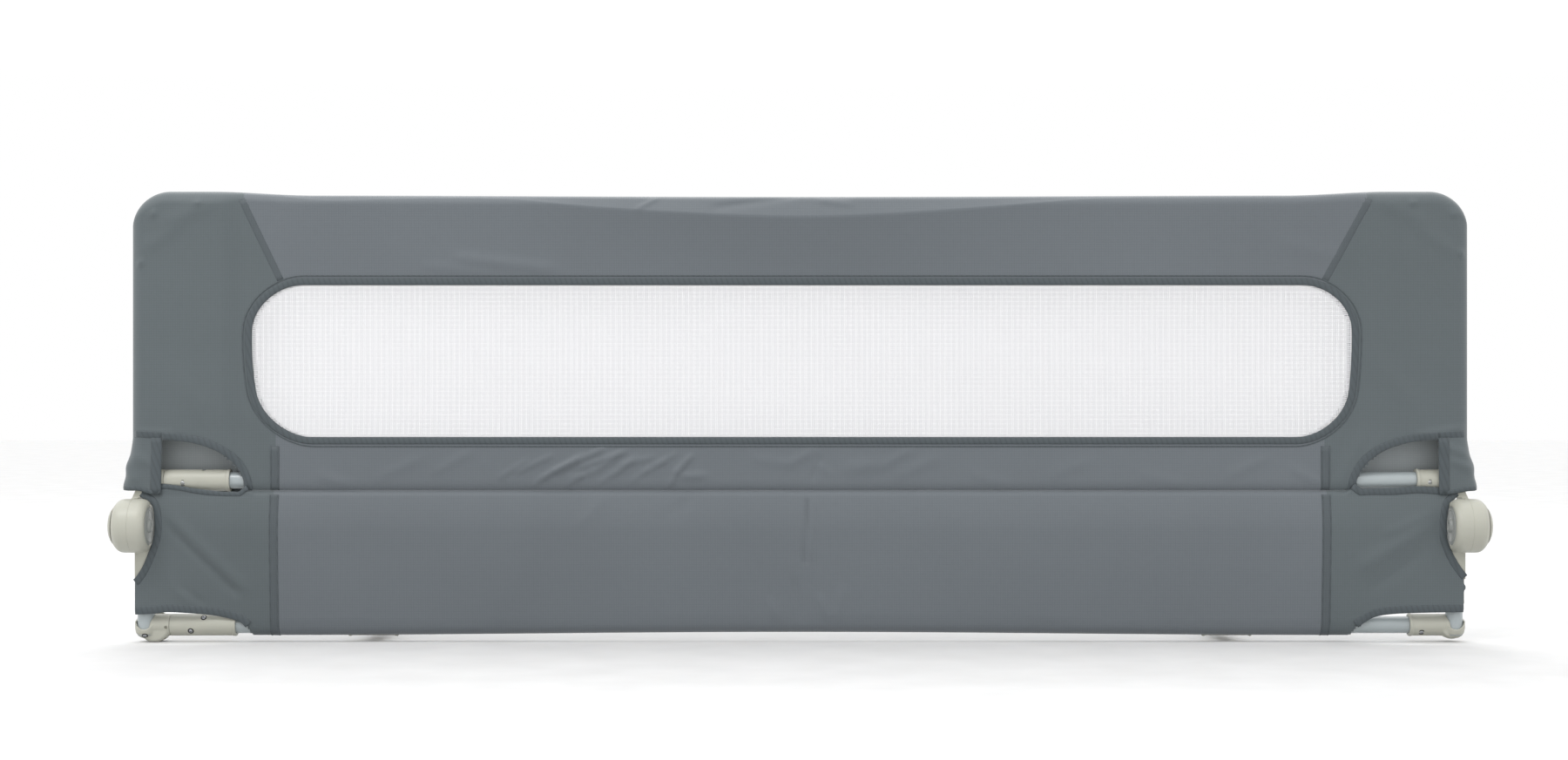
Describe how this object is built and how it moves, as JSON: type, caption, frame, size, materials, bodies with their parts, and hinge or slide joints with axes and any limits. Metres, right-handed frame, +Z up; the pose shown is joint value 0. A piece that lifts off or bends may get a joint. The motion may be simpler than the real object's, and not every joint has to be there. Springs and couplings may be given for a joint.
{
  "type": "folding bed guard rail",
  "caption": "Folding bed guard rail: grey fabric cover with a mesh window over a white tube frame, folding down on push-button drum hinges, with arms that slide under the mattress.",
  "frame": {"origin": "middle of the footprint of the whole rail, on the surface that it stands on", "axes": "+Z up, X along the bed's side, +Y under the mattress, -Y towards the room"},
  "size_m": [1.5426, 0.456, 0.506],
  "materials": {
    "cover_fabric": "close woven polyester, slightly shiny",
    "window_mesh": "fine open knitted mesh",
    "white_tube": "smooth powder coat",
    "moulded_plastic": "warm off-white, fine moulded grain",
    "grey_plastic": "light grey, satin",
    "steel_parts": "zinc plated",
    "foot_rubber": "matt"
  },
  "bodies": {
    "base": {"bottom_bar": "white_tube", "left_bar_sleeve": "moulded_plastic", "right_leg": "white_tube", "left_leg": "white_tube", "right_knuckle": "moulded_plastic", "left_knuckle": "moulded_plastic", "right_arm_tee": "moulded_plastic", "left_arm_tee": "moulded_plastic", "right_arm": "white_tube", "left_arm": "white_tube", "right_arm_foot": "foot_rubber", "left_arm_foot": "foot_rubber", "skirt": "cover_fabric", "right_hub_inner": "moulded_plastic", "left_hub_inner": "moulded_plastic", "right_hub_disc": "grey_plastic", "left_hub_disc": "grey_plastic", "right_axle_bolt": "steel_parts", "left_axle_bolt": "steel_parts", "right_axle_nut": "steel_parts", "left_axle_nut": "steel_parts", "right_lock_spring": "steel_parts", "left_lock_spring": "steel_parts"},
    "guard": {"right_hub_outer": "moulded_plastic", "left_hub_outer": "moulded_plastic", "top_tube": "white_tube", "right_elbow": "moulded_plastic", "left_elbow": "moulded_plastic", "right_side_tube": "white_tube", "left_side_tube": "white_tube", "crossbar": "white_tube", "left_cross_sleeve": "moulded_plastic", "cover": "cover_fabric", "window_net_front": "window_mesh", "window_net_back": "window_mesh"},
    "right_button": {"right_release_button": "moulded_plastic"},
    "left_button": {"left_release_button": "moulded_plastic"},
    "right_lock": {"right_lock_gear": "steel_parts"},
    "left_lock": {"left_lock_gear": "steel_parts"}
  },
  "joints": [
    {"name": "fold", "type": "hinge", "parent": "base", "child": "guard", "pos_m": [0, -0.198, 0.131], "axis": [1, 0, 0], "range_deg": [0, 180]},
    {"name": "right_press", "type": "slide", "parent": "guard", "child": "right_button", "axis": [-1, 0, 0], "range_m": [0, 0.005], "stiffness_N_per_m": 1500},
    {"name": "left_press", "type": "slide", "parent": "guard", "child": "left_button", "axis": [1, 0, 0], "range_m": [0, 0.005], "stiffness_N_per_m": 1500},
    {"name": "right_lock_slide", "type": "slide", "parent": "base", "child": "right_lock", "axis": [-1, 0, 0], "range_m": [0, 0.005], "deforming": ["right_lock_spring"]},
    {"name": "left_lock_slide", "type": "slide", "parent": "base", "child": "left_lock", "axis": [1, 0, 0], "range_m": [0, 0.005], "deforming": ["left_lock_spring"]}
  ],
  "couplings": [
    {"joint": "right_lock_slide", "follows": "right_press", "ratio": 1},
    {"joint": "left_lock_slide", "follows": "left_press", "ratio": 1}
  ]
}
